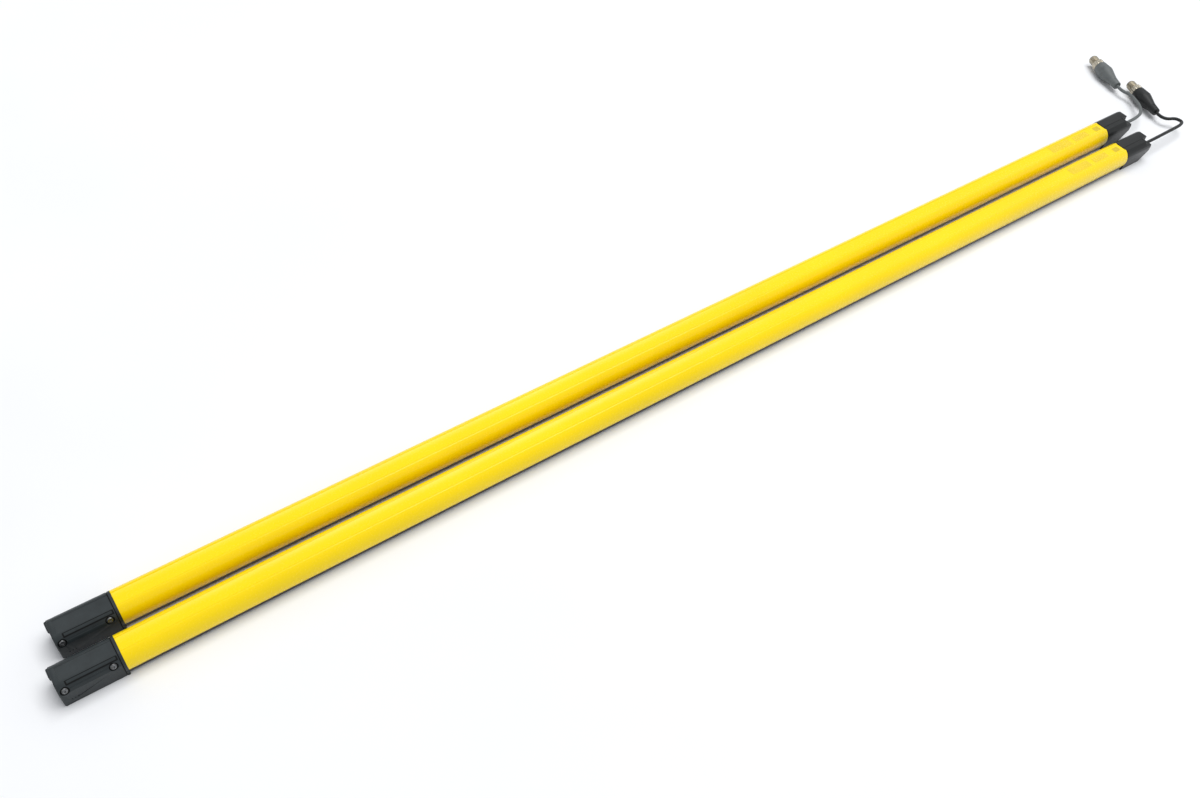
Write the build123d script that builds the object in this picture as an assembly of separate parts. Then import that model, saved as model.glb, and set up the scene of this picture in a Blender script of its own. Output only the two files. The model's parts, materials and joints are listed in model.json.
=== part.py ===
"""Safety light curtain: a sender bar and a receiver bar, each with a short cable and an M12 plug.

Both bars lie with the front screen down. X runs along the bars towards the cables, Y runs across
them and Z points up, away from the front screens. Lengths are millimetres, angles are degrees.
"""
from build123d import *
import math
import os

# Layout of the pair
BAR_PITCH = 40.0
BAR_STAGGER = 12.0

# Housing profile: a round body with a flat back and an open front
BODY_RADIUS = 15.0
BODY_DROP = 7.65
HOUSING_LOW = 7.0
RIDGE_HALF = 7.75
RIDGE_WIDTH = 1.25
PANEL_DEPTH = 0.45
HOUSING_LENGTH = 1242.0
HOUSING_WALL = 1.8
BACK_WALL = 2.2
LIP_REACH = 0.4
LIP_HEIGHT = 1.6
LEDGE_RISE = 4.5
LEDGE_THICK = 1.2
LEDGE_REACH = 1.6
RIB_OVERLAP = 1.0

# Front screen and its gaskets
SCREEN_INSET = 0.5
SCREEN_WALL = 2.0
WINDOW_THICK = 2.2
SCREEN_CORNER = 1.4
GASKET_THICK = 0.6
GASKET_WIDTH = 1.8
TONGUE_THICK = 1.15
TONGUE_GAP = 0.15
BARB_REACH = 0.75
BARB_HEIGHT = 1.1

# Optics
FIT_GAP = 0.15
BEAM_PITCH = 20.0
OPTICS_INSET = 10.0
RAIL_GAP = 0.55
RAIL_FLOOR = 1.4
RAIL_WALL = 1.4
RAIL_WALL_INSET = 1.2
RAIL_WALL_RISE = 5.4
APERTURE = 7.0
LENS_STRIP_HALF = 8.0
LENS_STRIP_THICK = 1.4
LENS_SIZE = 8.4
LENS_RISE = 0.7
BOARD_GAP = 0.7
BOARD_THICK = 1.6
ELEMENT_SIZE = 4.0
ELEMENT_HEIGHT = 2.2

# Caps
CAP_WALL = 2.8
CAP_FLAT_ANGLE = 72.0
FOOT_CORNER = 1.2
NEAR_CAP_LENGTH = 48.0
NEAR_END_WALL = 3.0
NEAR_PANEL_START = 4.5
END_ROUND = 1.0
SEAL_THICK = 0.8
SEAL_INSET = 0.4
FLANGE_THICK = 2.2
SPIGOT_LENGTH = 8.0
SPIGOT_WALL = 1.8
END_PAD_RISE = 1.2
END_PAD_WIDTH = 8.0
END_PAD_HEIGHT = 6.0
END_PAD_CENTRE = 5.5
END_PAD_DROP = 4.2

# Strip cover, channel and screws on the shoulder of the plain end's cap
STRIP_START = 8.0
STRIP_END = 46.8
STRIP_DEPTH = 1.0
STRIP_GAP = 0.3
STRIP_TOP_ANGLE = 32.5
STRIP_LOW_ANGLE = 45.5
CHANNEL_LOW_ANGLE = 60.0
CHANNEL_TOP_GAP = 1.6
CHANNEL_DEPTH = 0.5
SCREW_ANGLE = 63.0
SCREW_PLACES = (5.0, 42.4)
SCREW_RECESS_RADIUS = 3.6
SCREW_RECESS_DEPTH = 1.6
SCREW_HEAD_RADIUS = 2.6
SCREW_HEAD_HEIGHT = 1.3
SCREW_SHANK_RADIUS = 1.3
SCREW_LENGTH = 8.0
SCREW_SOCKET_RADIUS = 1.1
SCREW_SOCKET_DEPTH = 0.7
MARK_RADIUS = 0.6
MARK_DEPTH = 0.6
MARK_PLACES = (7.0, 9.4, 11.8)
MARK_HEIGHT = 7.5

# Cable end's cap
FAR_CAP_LENGTH = 37.2
FAR_CAVITY_END = 4.2
TAB_LENGTH = 9.0
TAB_EDGE = -3.0
TAB_CORNER = 5.0
TAB_DROP = 5.5
END_CORNER = 3.0
END_SLANT_LENGTH = 13.2
END_SLANT_HEIGHT = 13.8
STEP_CORNER = 1.6
TOP_STEP = 0.6
CABLE_EXIT_ANGLE = 58.2
CABLE_EXIT_INSET = 2.25
CABLE_EXIT_RUN = 16.0
GROMMET_HOLE = 3.0
GROMMET_GAP = 0.05
GROMMET_FLANGE = 3.6
GROMMET_FLANGE_THICK = 1.5
GROMMET_NOSE = 1.0
GROMMET_TIP = 2.5
IO_BOARD_LENGTH = 27.0
IO_BOARD_START = 3.0
IO_BOARD_THICK = 1.6
IO_LEDGE_HEIGHT = 9.0
IO_LEDGE_THICK = 1.5
IO_LEDGE_REACH = 1.2
CONNECTOR_SIZE = (6.0, 9.0, 5.0)
STATUS_LENGTH = 14.0
STATUS_WIDTH = 6.0
STATUS_THICK = 1.4
STATUS_START = 9.0
STATUS_CORNER = 1.5

# Cable and plug
CABLE_RADIUS = 2.0
PLUG_LENGTH = 62.0
GRIP_LENGTH = 43.5
GRIP_END_RADIUS = 5.0
GRIP_NECK_RADIUS = 5.9
GRIP_NECK_LENGTH = 12.0
GRIP_SHOULDER_RADIUS = 9.8
GRIP_SHOULDER_AT = 29.0
GRIP_FRONT_RADIUS = 8.3
GRIP_EDGE = 0.8
GRIP_FLATS = 6
GRIP_FLAT_DISTANCE = 9.0
GRIP_RIBS = (4.0, 6.6, 9.2)
GRIP_RIB_WIDTH = 1.2
GRIP_RIB_DEPTH = 0.8
NUT_GAP = 0.3
COLLAR_RADIUS = 7.8
COLLAR_LENGTH = 7.6
COLLAR_EDGE = 0.6
KNURL_COUNT = 12
KNURL_RADIUS = 1.0
KNURL_DEPTH = 0.4
THREAD_RADIUS = 6.0
THREAD_EDGE = 0.6
INSERT_RADIUS = 5.0
INSERT_WALL = 0.8
INSERT_BORE = INSERT_RADIUS - INSERT_WALL
INSERT_BORE_DEPTH = 8.5
INSERT_ROOT = 6.0
INSERT_PROUD = 0.8
RUNNING_GAP = 0.08
FLANGE_RING_RISE = 0.5
FLANGE_RING_RADIUS = INSERT_RADIUS + FLANGE_RING_RISE
FLANGE_RING_WIDTH = 1.8
FLANGE_RING_AT = 3.0
KEY_WIDTH = 1.0
KEY_HEIGHT = 0.7
PIN_RADIUS = 0.5
PIN_CIRCLE = 2.4
PIN_LENGTH = 11.0
PIN_ROOT = 3.5
PIN_COUNT = 4

# Lengths that follow along the bar
FLANGE_START = NEAR_CAP_LENGTH + SEAL_THICK
HOUSING_START = FLANGE_START + FLANGE_THICK
HOUSING_END = HOUSING_START + HOUSING_LENGTH
FAR_CAP_START = HOUSING_END + SEAL_THICK
FAR_CAP_END = FAR_CAP_START + FAR_CAP_LENGTH
BAR_LENGTH = FAR_CAP_END + TAB_LENGTH
OPTICS_START = HOUSING_START + OPTICS_INSET
OPTICS_LENGTH = HOUSING_LENGTH - 2 * OPTICS_INSET
BEAM_COUNT = int((OPTICS_LENGTH - APERTURE) // BEAM_PITCH)

# Heights and half widths that follow, from the front upwards
AXIS_HEIGHT = HOUSING_LOW + BODY_DROP
DEPTH = AXIS_HEIGHT + math.sqrt(BODY_RADIUS**2 - RIDGE_HALF**2)
PANEL_HALF = RIDGE_HALF - RIDGE_WIDTH
FOOT_HALF = math.sqrt(BODY_RADIUS**2 - BODY_DROP**2)
SCREEN_HALF = FOOT_HALF - SCREEN_INSET
SHOULDER_HEIGHT = HOUSING_LOW - GASKET_THICK
LEDGE_LOW = HOUSING_LOW + LEDGE_RISE
LEDGE_TOP = LEDGE_LOW + LEDGE_THICK
RAIL_TOP = LEDGE_TOP + RAIL_FLOOR
BOARD_LOW = RAIL_TOP + RAIL_WALL_RISE
BARB_LOW = HOUSING_LOW + LIP_HEIGHT + TONGUE_GAP
TONGUE_TOP = BARB_LOW + BARB_HEIGHT
SPIGOT_LOW = TONGUE_TOP + FIT_GAP
CABLE_EXIT_REACH = BODY_RADIUS - CAP_WALL - GROMMET_FLANGE - CABLE_EXIT_INSET
CABLE_EXIT_Y = -CABLE_EXIT_REACH * math.sin(math.radians(CABLE_EXIT_ANGLE))
CABLE_EXIT_Z = AXIS_HEIGHT + CABLE_EXIT_REACH * math.cos(math.radians(CABLE_EXIT_ANGLE))
IO_BOARD_HALF = FOOT_HALF - CAP_WALL - 2 * FIT_GAP

# Cable routes, from the end of the straight run at the cap to the plug's grip, as chosen by hand
RECEIVER_ROUTE = [
    (705.0, -24.8, 17.5),
    (727.5, -23.9, 16.5),
    (742.4, -23.0, 15.6),
    (753.2, -19.2, 14.2),
    (753.8, -8.6, 12.6),
    (744.4, -3.0, 11.0),
    (743.0, 6.9, 9.9),
    (745.8, 14.6, 9.9),
]
SENDER_ROUTE = [
    (709.0, 17.1, 17.0),
    (721.0, 22.4, 15.2),
    (734.0, 33.4, 12.6),
    (742.6, 46.6, 10.8),
    (747.6, 58.8, 9.9),
    (743.9, 69.2, 9.9),
    (747.6, 79.3, 9.9),
]
ROUTES = {"receiver": RECEIVER_ROUTE, "sender": SENDER_ROUTE}


def block(centre_y, low, width, height):
    """Rectangle of a cross-section, placed by its centre line and its lower edge."""
    return Pos(centre_y, low + height / 2) * Rectangle(width, height)


def band(radius, low, high):
    """Disc about the bar's axis, cut off flat below one height and above another."""
    return Pos(0, AXIS_HEIGHT) * Circle(radius) & block(0, low, 2 * radius, high - low)


def room(low, high):
    """Half the width that the round hollow of the housing leaves free between two heights."""
    widest = max(abs(AXIS_HEIGHT - low), abs(AXIS_HEIGHT - high))
    return math.sqrt((BODY_RADIUS - HOUSING_WALL) ** 2 - widest**2)


def lip_inner():
    return room(HOUSING_LOW, AXIS_HEIGHT) - LIP_REACH


def ledge_inner():
    return room(LEDGE_LOW, LEDGE_LOW) - LEDGE_REACH


def board_half():
    return room(BOARD_LOW, BOARD_LOW + BOARD_THICK) - BOARD_GAP


def along(section, start, length):
    """Run of a cross-section along the bar."""
    return extrude(Plane.YZ.offset(start) * section, length)


def both_sides(section):
    """A cross-section and its mirror image across the bar's middle."""
    return section + mirror(section, about=Plane.YZ)


def back_panel(length, start):
    """Shallow flat recess between the two ridges of the back."""
    return along(block(0, DEPTH - PANEL_DEPTH, 2 * PANEL_HALF, 2 * PANEL_DEPTH), start, length)


def cap_section(inset):
    """Cap's cross-section: round back, and flat lower sides that draw in towards the front."""
    radius = BODY_RADIUS - inset
    turn = math.radians(CAP_FLAT_ANGLE)
    knee = AXIS_HEIGHT + radius * math.cos(turn)
    reach = radius * math.sin(turn)
    foot = FOOT_HALF - inset
    lower = Polygon((-foot, inset), (foot, inset), (reach, knee), (-reach, knee), align=None)
    return band(radius, knee, DEPTH - inset) + lower


def bar_section(inset):
    """Outline that covers the housing and the screen below it."""
    foot = FOOT_HALF - inset
    return band(BODY_RADIUS - inset, HOUSING_LOW, DEPTH - inset) + block(0, inset, 2 * foot, HOUSING_LOW)


def ring_sector(inner, outer, top_angle, low_angle):
    """Part of a ring about the bar's axis, between two angles from straight up towards -Y."""
    reach = 2 * outer
    corners = [(0, 0)]
    for angle in (top_angle, low_angle):
        turn = math.radians(angle)
        corners.append((-reach * math.sin(turn), reach * math.cos(turn)))
    ring = Circle(outer) - Circle(inner)
    return Pos(0, AXIS_HEIGHT) * (ring & Polygon(*corners, align=None))


def shoulder_plane(place, angle):
    """Plane that lies on the round body, with its normal pointing out."""
    turn = math.radians(angle)
    out = (0, -math.sin(turn), math.cos(turn))
    origin = (place, BODY_RADIUS * out[1], AXIS_HEIGHT + BODY_RADIUS * out[2])
    return Plane(origin=origin, x_dir=(1, 0, 0), z_dir=out)


def beam_places():
    """Centres of the beams, evenly spaced about the middle of the housing."""
    middle = HOUSING_START + HOUSING_LENGTH / 2
    return Pos(middle, 0, 0) * GridLocations(BEAM_PITCH, 0, BEAM_COUNT, 1)


def make_housing():
    cavity = band(BODY_RADIUS - HOUSING_WALL, 0, DEPTH - BACK_WALL)
    section = band(BODY_RADIUS, HOUSING_LOW, DEPTH) - cavity
    lip_width = BODY_RADIUS - HOUSING_WALL - lip_inner()
    lip = block(lip_inner() + lip_width / 2, HOUSING_LOW, lip_width, LIP_HEIGHT)
    ledge_width = BODY_RADIUS - HOUSING_WALL + RIB_OVERLAP - ledge_inner()
    ledge = block(ledge_inner() + ledge_width / 2, LEDGE_LOW, ledge_width, LEDGE_THICK)
    inside = band(BODY_RADIUS, HOUSING_LOW, DEPTH)
    section += both_sides((lip + ledge) & inside)
    return along(section, HOUSING_START, HOUSING_LENGTH) - back_panel(HOUSING_LENGTH, HOUSING_START)


def make_screen():
    tongue_outer = lip_inner() - TONGUE_GAP
    tongue_inner = tongue_outer - TONGUE_THICK
    ledge_low = SHOULDER_HEIGHT - SCREEN_WALL
    plate = block(0, 0, 2 * SCREEN_HALF, SHOULDER_HEIGHT)
    plate = fillet(plate.vertices().group_by(Axis.Y)[0], SCREEN_CORNER)
    inner_half = SCREEN_HALF - SCREEN_WALL
    plate -= block(0, WINDOW_THICK, 2 * inner_half, ledge_low - WINDOW_THICK)
    plate -= block(0, ledge_low, 2 * tongue_inner, SCREEN_WALL)
    tongue = block(
        tongue_inner + TONGUE_THICK / 2, ledge_low, TONGUE_THICK, TONGUE_TOP - ledge_low
    )
    barb = Polygon(
        (tongue_outer - TONGUE_THICK / 2, BARB_LOW),
        (tongue_outer + BARB_REACH, BARB_LOW),
        (tongue_outer, TONGUE_TOP),
        (tongue_outer - TONGUE_THICK / 2, TONGUE_TOP),
        align=None,
    )
    return along(plate + both_sides(tongue + barb), HOUSING_START, HOUSING_LENGTH)


def make_gaskets():
    centre = SCREEN_HALF - GASKET_WIDTH / 2 - FIT_GAP
    strips = both_sides(block(centre, SHOULDER_HEIGHT, GASKET_WIDTH, GASKET_THICK))
    return along(strips, HOUSING_START, HOUSING_LENGTH)


def make_optics_rail():
    floor_half = room(LEDGE_TOP, RAIL_TOP) - RAIL_GAP
    section = block(0, LEDGE_TOP, 2 * floor_half, RAIL_FLOOR)
    wall_centre = board_half() - RAIL_WALL_INSET
    section += both_sides(block(wall_centre, LEDGE_TOP, RAIL_WALL, RAIL_FLOOR + RAIL_WALL_RISE))
    rail = along(section, OPTICS_START, OPTICS_LENGTH)
    hole = Pos(0, 0, LEDGE_TOP + RAIL_FLOOR / 2) * Box(APERTURE, APERTURE, 2 * RAIL_FLOOR)
    return rail - [place * hole for place in beam_places()]


def make_lens_strip():
    low = LEDGE_TOP - LENS_STRIP_THICK
    plate = along(block(0, low, 2 * LENS_STRIP_HALF, LENS_STRIP_THICK), OPTICS_START, OPTICS_LENGTH)
    lens = Pos(0, 0, low) * Box(LENS_SIZE, LENS_SIZE, 2 * LENS_RISE)
    return plate + [place * lens for place in beam_places()]


def make_beam_board():
    return along(block(0, BOARD_LOW, 2 * board_half(), BOARD_THICK), OPTICS_START, OPTICS_LENGTH)


def make_beam_elements():
    centre = BOARD_LOW - ELEMENT_HEIGHT / 2
    element = Pos(0, 0, centre) * Box(ELEMENT_SIZE, ELEMENT_SIZE, ELEMENT_HEIGHT)
    return Compound(children=[place * element for place in beam_places()])


def screw_tools():
    """Recess, clearance and pilot shapes of the screws, as one list of pairs."""
    floor = -SCREW_RECESS_DEPTH
    reach = SCREW_RECESS_DEPTH * 2
    tools = []
    for side in (-1, 1):
        for place in SCREW_PLACES:
            plane = shoulder_plane(place, side * SCREW_ANGLE)
            recess = plane * Pos(0, 0, floor + reach / 2) * Cylinder(SCREW_RECESS_RADIUS, reach)
            shank = plane * Pos(0, 0, floor - SCREW_LENGTH / 2) * Cylinder(SCREW_SHANK_RADIUS, SCREW_LENGTH)
            tools.append((recess, shank))
    return tools


def make_near_cap():
    shell = along(cap_section(0), 0, NEAR_CAP_LENGTH)
    feet = shell.edges().filter_by(Axis.X).group_by(Axis.Z)[0]
    shell = fillet(feet, FOOT_CORNER)
    shell = chamfer(shell.faces().sort_by(Axis.X)[0].edges(), END_ROUND)
    pad_top = DEPTH - END_PAD_DROP
    pad = Pos(0, END_PAD_CENTRE, pad_top) * Box(2 * END_PAD_RISE, END_PAD_WIDTH, END_PAD_HEIGHT)
    pad = chamfer(pad.faces().sort_by(Axis.X)[0].edges(), END_PAD_RISE / 2)
    cavity_length = NEAR_CAP_LENGTH - NEAR_END_WALL
    shell += pad
    shell -= along(cap_section(CAP_WALL), NEAR_END_WALL, cavity_length)
    shell -= back_panel(NEAR_CAP_LENGTH, NEAR_PANEL_START)
    strip_bed = ring_sector(
        BODY_RADIUS - STRIP_DEPTH, BODY_RADIUS + STRIP_DEPTH, STRIP_TOP_ANGLE, STRIP_LOW_ANGLE
    )
    shell -= along(strip_bed, STRIP_START, STRIP_END - STRIP_START)
    channel = ring_sector(
        BODY_RADIUS - CHANNEL_DEPTH,
        BODY_RADIUS + CHANNEL_DEPTH,
        STRIP_LOW_ANGLE + CHANNEL_TOP_GAP,
        CHANNEL_LOW_ANGLE,
    )
    shell -= along(channel, SCREW_PLACES[0], SCREW_PLACES[1] - SCREW_PLACES[0])
    for recess, shank in screw_tools():
        shell -= recess
        shell -= shank
    for place in MARK_PLACES:
        dot = Pos(place, -BODY_RADIUS, MARK_HEIGHT) * Rot(90, 0, 0) * Cylinder(
            MARK_RADIUS, 2 * (BODY_RADIUS - FOOT_HALF + MARK_DEPTH)
        )
        shell -= dot
    return shell


def make_strip_cover():
    """Cover strip that sits in its bed with an open joint all round."""
    joint = math.degrees(STRIP_GAP / BODY_RADIUS)
    section = ring_sector(
        BODY_RADIUS - STRIP_DEPTH, BODY_RADIUS, STRIP_TOP_ANGLE + joint, STRIP_LOW_ANGLE - joint
    )
    return along(section, STRIP_START + STRIP_GAP, STRIP_END - STRIP_START - 2 * STRIP_GAP)


def make_near_seal():
    ring = cap_section(SEAL_INSET) - cap_section(CAP_WALL)
    return along(ring, NEAR_CAP_LENGTH, SEAL_THICK)


def spigot_section():
    """Outline of a plug that slides into the housing above the screen's tongues."""
    fit = band(BODY_RADIUS - HOUSING_WALL - FIT_GAP, SPIGOT_LOW, DEPTH - BACK_WALL - FIT_GAP)
    lower_half = ledge_inner() - 2 * FIT_GAP
    lower = block(0, SPIGOT_LOW, 2 * lower_half, AXIS_HEIGHT - SPIGOT_LOW)
    upper = block(0, AXIS_HEIGHT, 2 * BODY_RADIUS, DEPTH - AXIS_HEIGHT)
    return fit & (lower + upper)


def make_near_core():
    """Flange, spigot and inner block that the plain end's cap is screwed to."""
    core = along(bar_section(0), FLANGE_START, FLANGE_THICK)
    core += along(spigot_section(), HOUSING_START, SPIGOT_LENGTH)
    block_start = NEAR_END_WALL + FIT_GAP
    core += along(cap_section(CAP_WALL + FIT_GAP), block_start, FLANGE_START - block_start)
    for recess, shank in screw_tools():
        core -= shank
    return core


def make_near_screws():
    screws = []
    for side in (-1, 1):
        for place in SCREW_PLACES:
            plane = shoulder_plane(place, side * SCREW_ANGLE)
            seat = -SCREW_RECESS_DEPTH
            head = Pos(0, 0, seat + SCREW_HEAD_HEIGHT / 2) * Cylinder(SCREW_HEAD_RADIUS, SCREW_HEAD_HEIGHT)
            shank = Pos(0, 0, seat - SCREW_LENGTH / 2) * Cylinder(SCREW_SHANK_RADIUS, SCREW_LENGTH)
            socket_middle = seat + SCREW_HEAD_HEIGHT
            socket = extrude(RegularPolygon(SCREW_SOCKET_RADIUS, 6), SCREW_SOCKET_DEPTH)
            head -= Pos(0, 0, socket_middle - SCREW_SOCKET_DEPTH) * socket
            screws.append(plane * (head + shank))
    return Compound(children=screws)


def far_cap_plan():
    """Plan view of the cable end's cap, with its rounded end."""
    whole = Pos(FAR_CAP_START, 0) * Rectangle(
        FAR_CAP_LENGTH + TAB_LENGTH, 2 * BODY_RADIUS, align=(Align.MIN, Align.CENTER)
    )
    low_corner, high_corner = whole.vertices().group_by(Axis.X)[-1].sort_by(Axis.Y)
    return fillet(high_corner, TAB_CORNER) & fillet(low_corner, END_CORNER)


def end_step():
    """Space above the cable's outlet, where the cap's end drops below its tab."""
    plan = Pos(FAR_CAP_END, TAB_EDGE) * Rectangle(2 * TAB_LENGTH, 2 * BODY_RADIUS, align=(Align.MIN, Align.MAX))
    inner = plan.vertices().group_by(Axis.X)[0].sort_by(Axis.Y)[-1]
    return extrude(Pos(0, 0, DEPTH - TAB_DROP) * fillet(inner, STEP_CORNER), 2 * TAB_DROP)


def end_slant():
    """Wedge below the cap's end, which leans back towards the front."""
    corners = (
        (BAR_LENGTH - END_SLANT_LENGTH, 0),
        (BAR_LENGTH, 0),
        (BAR_LENGTH, END_SLANT_HEIGHT),
    )
    return extrude(Plane.XZ * Polygon(*corners, align=None), BODY_RADIUS, both=True)


def make_far_cap():
    shell = along(cap_section(0), FAR_CAP_START, FAR_CAP_LENGTH + TAB_LENGTH)
    feet = shell.edges().filter_by(Axis.X).group_by(Axis.Z)[0]
    shell = fillet(feet, FOOT_CORNER)
    shell &= extrude(far_cap_plan(), DEPTH)
    shell -= end_step()
    shell -= end_slant()
    lowered = Pos(FAR_CAP_START, TAB_EDGE, DEPTH) * Box(
        2 * FAR_CAP_LENGTH, 2 * BODY_RADIUS, 2 * TOP_STEP, align=(Align.CENTER, Align.MAX, Align.CENTER)
    )
    shell -= lowered
    cavity_length = FAR_CAP_LENGTH - FAR_CAVITY_END
    shell -= along(cap_section(CAP_WALL), FAR_CAP_START, cavity_length)
    spigot_start = FAR_CAP_START - SPIGOT_LENGTH
    sleeve = spigot_section() - band(
        BODY_RADIUS - HOUSING_WALL - SPIGOT_WALL, SPIGOT_LOW + SPIGOT_WALL, DEPTH - BACK_WALL - SPIGOT_WALL
    )
    shell += along(sleeve, spigot_start, SPIGOT_LENGTH + CAP_WALL)
    inner = IO_BOARD_HALF - IO_LEDGE_REACH
    ledge_width = BODY_RADIUS - inner
    ledge = block(inner + ledge_width / 2, IO_LEDGE_HEIGHT, ledge_width, IO_LEDGE_THICK)
    ledges = both_sides(ledge) & cap_section(CAP_WALL / 2)
    shell += along(ledges, FAR_CAP_START + CAP_WALL, cavity_length - CAP_WALL)
    hole_length = TAB_LENGTH + FAR_CAVITY_END
    exit_hole = Pos(BAR_LENGTH, CABLE_EXIT_Y, CABLE_EXIT_Z) * Rot(0, 90, 0) * Cylinder(
        GROMMET_HOLE, 2 * hole_length
    )
    shell -= exit_hole
    return shell - status_shape(FIT_GAP)


def status_shape(gap):
    """Status window in the front of the cable end's cap, or its bed with a gap round it."""
    plan = RectangleRounded(STATUS_LENGTH + 2 * gap, STATUS_WIDTH + 2 * gap, STATUS_CORNER + gap)
    centre = FAR_CAP_START + STATUS_START + STATUS_LENGTH / 2
    return extrude(Pos(centre, 0, 0) * plan, STATUS_THICK)


def make_far_seal():
    window = band(BODY_RADIUS - HOUSING_WALL, HOUSING_LOW + LIP_HEIGHT, DEPTH - BACK_WALL)
    ring = bar_section(SEAL_INSET) - window
    return along(ring, HOUSING_END, SEAL_THICK)


def make_grommet():
    wall_start = FAR_CAP_END - FAR_CAVITY_END
    profile = Polyline(
        (wall_start - GROMMET_FLANGE_THICK, 0),
        (wall_start - GROMMET_FLANGE_THICK, GROMMET_FLANGE),
        (wall_start, GROMMET_FLANGE),
        (wall_start, GROMMET_HOLE - GROMMET_GAP),
        (BAR_LENGTH - GROMMET_NOSE, GROMMET_HOLE - GROMMET_GAP),
        (BAR_LENGTH, GROMMET_TIP),
        (BAR_LENGTH, 0),
        close=True,
    )
    body = revolve(make_face(profile), Axis.X)
    return Pos(0, CABLE_EXIT_Y, CABLE_EXIT_Z) * body


def make_io_board():
    """Interface board on its ledges, with the cable's connector on it."""
    low = IO_LEDGE_HEIGHT + IO_LEDGE_THICK
    start = FAR_CAP_START + IO_BOARD_START
    board = along(block(0, low, 2 * IO_BOARD_HALF, IO_BOARD_THICK), start, IO_BOARD_LENGTH)
    length, width, height = CONNECTOR_SIZE
    place = Pos(start + IO_BOARD_LENGTH - length, CABLE_EXIT_Y / 2, low + IO_BOARD_THICK + height / 2)
    return board + place * Box(length, width, height)


def spun(points):
    """Solid of revolution about the plug's axis from its half outline."""
    return revolve(make_face(Polyline(*points, close=True)), Axis.X)


def make_plug_grip():
    outline = [
        (0, 0),
        (0, GRIP_END_RADIUS),
        (GRIP_NECK_LENGTH, GRIP_NECK_RADIUS),
        (GRIP_SHOULDER_AT, GRIP_SHOULDER_RADIUS),
        (GRIP_LENGTH, GRIP_FRONT_RADIUS),
        (GRIP_LENGTH, 0),
    ]
    grip = spun(outline)
    grip = fillet(grip.edges().filter_by(GeomType.CIRCLE).sort_by(Axis.X)[:1], GRIP_EDGE)
    side = 2 * GRIP_SHOULDER_RADIUS
    for index in range(GRIP_FLATS):
        turn = Rot(360 / GRIP_FLATS * index, 0, 0)
        cutter = Pos(GRIP_SHOULDER_AT, 0, GRIP_FLAT_DISTANCE) * Box(
            side, side, side, align=(Align.CENTER, Align.CENTER, Align.MIN)
        )
        grip -= turn * cutter
    groove = Pos(0, 0, GRIP_NECK_RADIUS) * Box(GRIP_RIB_WIDTH, side, 2 * GRIP_RIB_DEPTH)
    for place in GRIP_RIBS:
        for turn in (0, 180):
            grip -= Pos(place, 0, 0) * Rot(turn, 0, 0) * groove
    socket = Pos(GRIP_LENGTH - INSERT_ROOT, 0, 0) * Rot(0, 90, 0) * Cylinder(
        INSERT_RADIUS, INSERT_ROOT, align=(Align.CENTER, Align.CENTER, Align.MIN)
    )
    return grip - socket


def nut_start():
    return GRIP_LENGTH + NUT_GAP


def make_plug_insert():
    root = GRIP_LENGTH - INSERT_ROOT
    tip = PLUG_LENGTH + INSERT_PROUD
    floor = tip - INSERT_BORE_DEPTH
    ring = nut_start() + FLANGE_RING_AT
    body = spun(
        [
            (root, 0),
            (root, INSERT_RADIUS),
            (ring, INSERT_RADIUS),
            (ring, FLANGE_RING_RADIUS),
            (ring + FLANGE_RING_WIDTH, FLANGE_RING_RADIUS),
            (ring + FLANGE_RING_WIDTH, INSERT_RADIUS),
            (tip, INSERT_RADIUS),
            (tip, INSERT_BORE),
            (floor, INSERT_BORE),
            (floor, 0),
        ]
    )
    key = Pos(floor + INSERT_BORE_DEPTH / 2, 0, INSERT_BORE) * Box(
        INSERT_BORE_DEPTH, KEY_WIDTH, 2 * KEY_HEIGHT
    )
    body += key & (Rot(0, 90, 0) * Cylinder(INSERT_RADIUS, 2 * tip))
    return body - make_plug_pins()


def make_plug_pins():
    tip = PLUG_LENGTH + INSERT_PROUD
    start = tip - INSERT_BORE_DEPTH - PIN_ROOT
    pin = Pos(start, 0, 0) * Rot(0, 90, 0) * Cylinder(
        PIN_RADIUS, PIN_LENGTH, align=(Align.CENTER, Align.CENTER, Align.MIN)
    )
    pins = [pin]
    for index in range(PIN_COUNT):
        pins.append(Rot(45 + 360 / PIN_COUNT * index, 0, 0) * Pos(0, 0, PIN_CIRCLE) * pin)
    return Compound(children=pins)


def make_plug_nut():
    start = nut_start()
    collar_end = start + COLLAR_LENGTH
    ring = start + FLANGE_RING_AT - RUNNING_GAP
    ring_end = ring + FLANGE_RING_WIDTH + 2 * RUNNING_GAP
    bore = INSERT_RADIUS + RUNNING_GAP
    groove = FLANGE_RING_RADIUS + RUNNING_GAP
    body = spun(
        [
            (start, bore),
            (start, COLLAR_RADIUS - COLLAR_EDGE),
            (start + COLLAR_EDGE, COLLAR_RADIUS),
            (collar_end - COLLAR_EDGE, COLLAR_RADIUS),
            (collar_end, COLLAR_RADIUS - COLLAR_EDGE),
            (collar_end, THREAD_RADIUS),
            (PLUG_LENGTH - THREAD_EDGE, THREAD_RADIUS),
            (PLUG_LENGTH, THREAD_RADIUS - THREAD_EDGE),
            (PLUG_LENGTH, bore),
            (ring_end, bore),
            (ring_end, groove),
            (ring, groove),
            (ring, bore),
        ]
    )
    flute_centre = COLLAR_RADIUS + KNURL_RADIUS - KNURL_DEPTH
    flute = Pos(start, 0, flute_centre) * Rot(0, 90, 0) * Cylinder(
        KNURL_RADIUS, COLLAR_LENGTH, align=(Align.CENTER, Align.CENTER, Align.MIN)
    )
    return body - [Rot(360 / KNURL_COUNT * index, 0, 0) * flute for index in range(KNURL_COUNT)]


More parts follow.
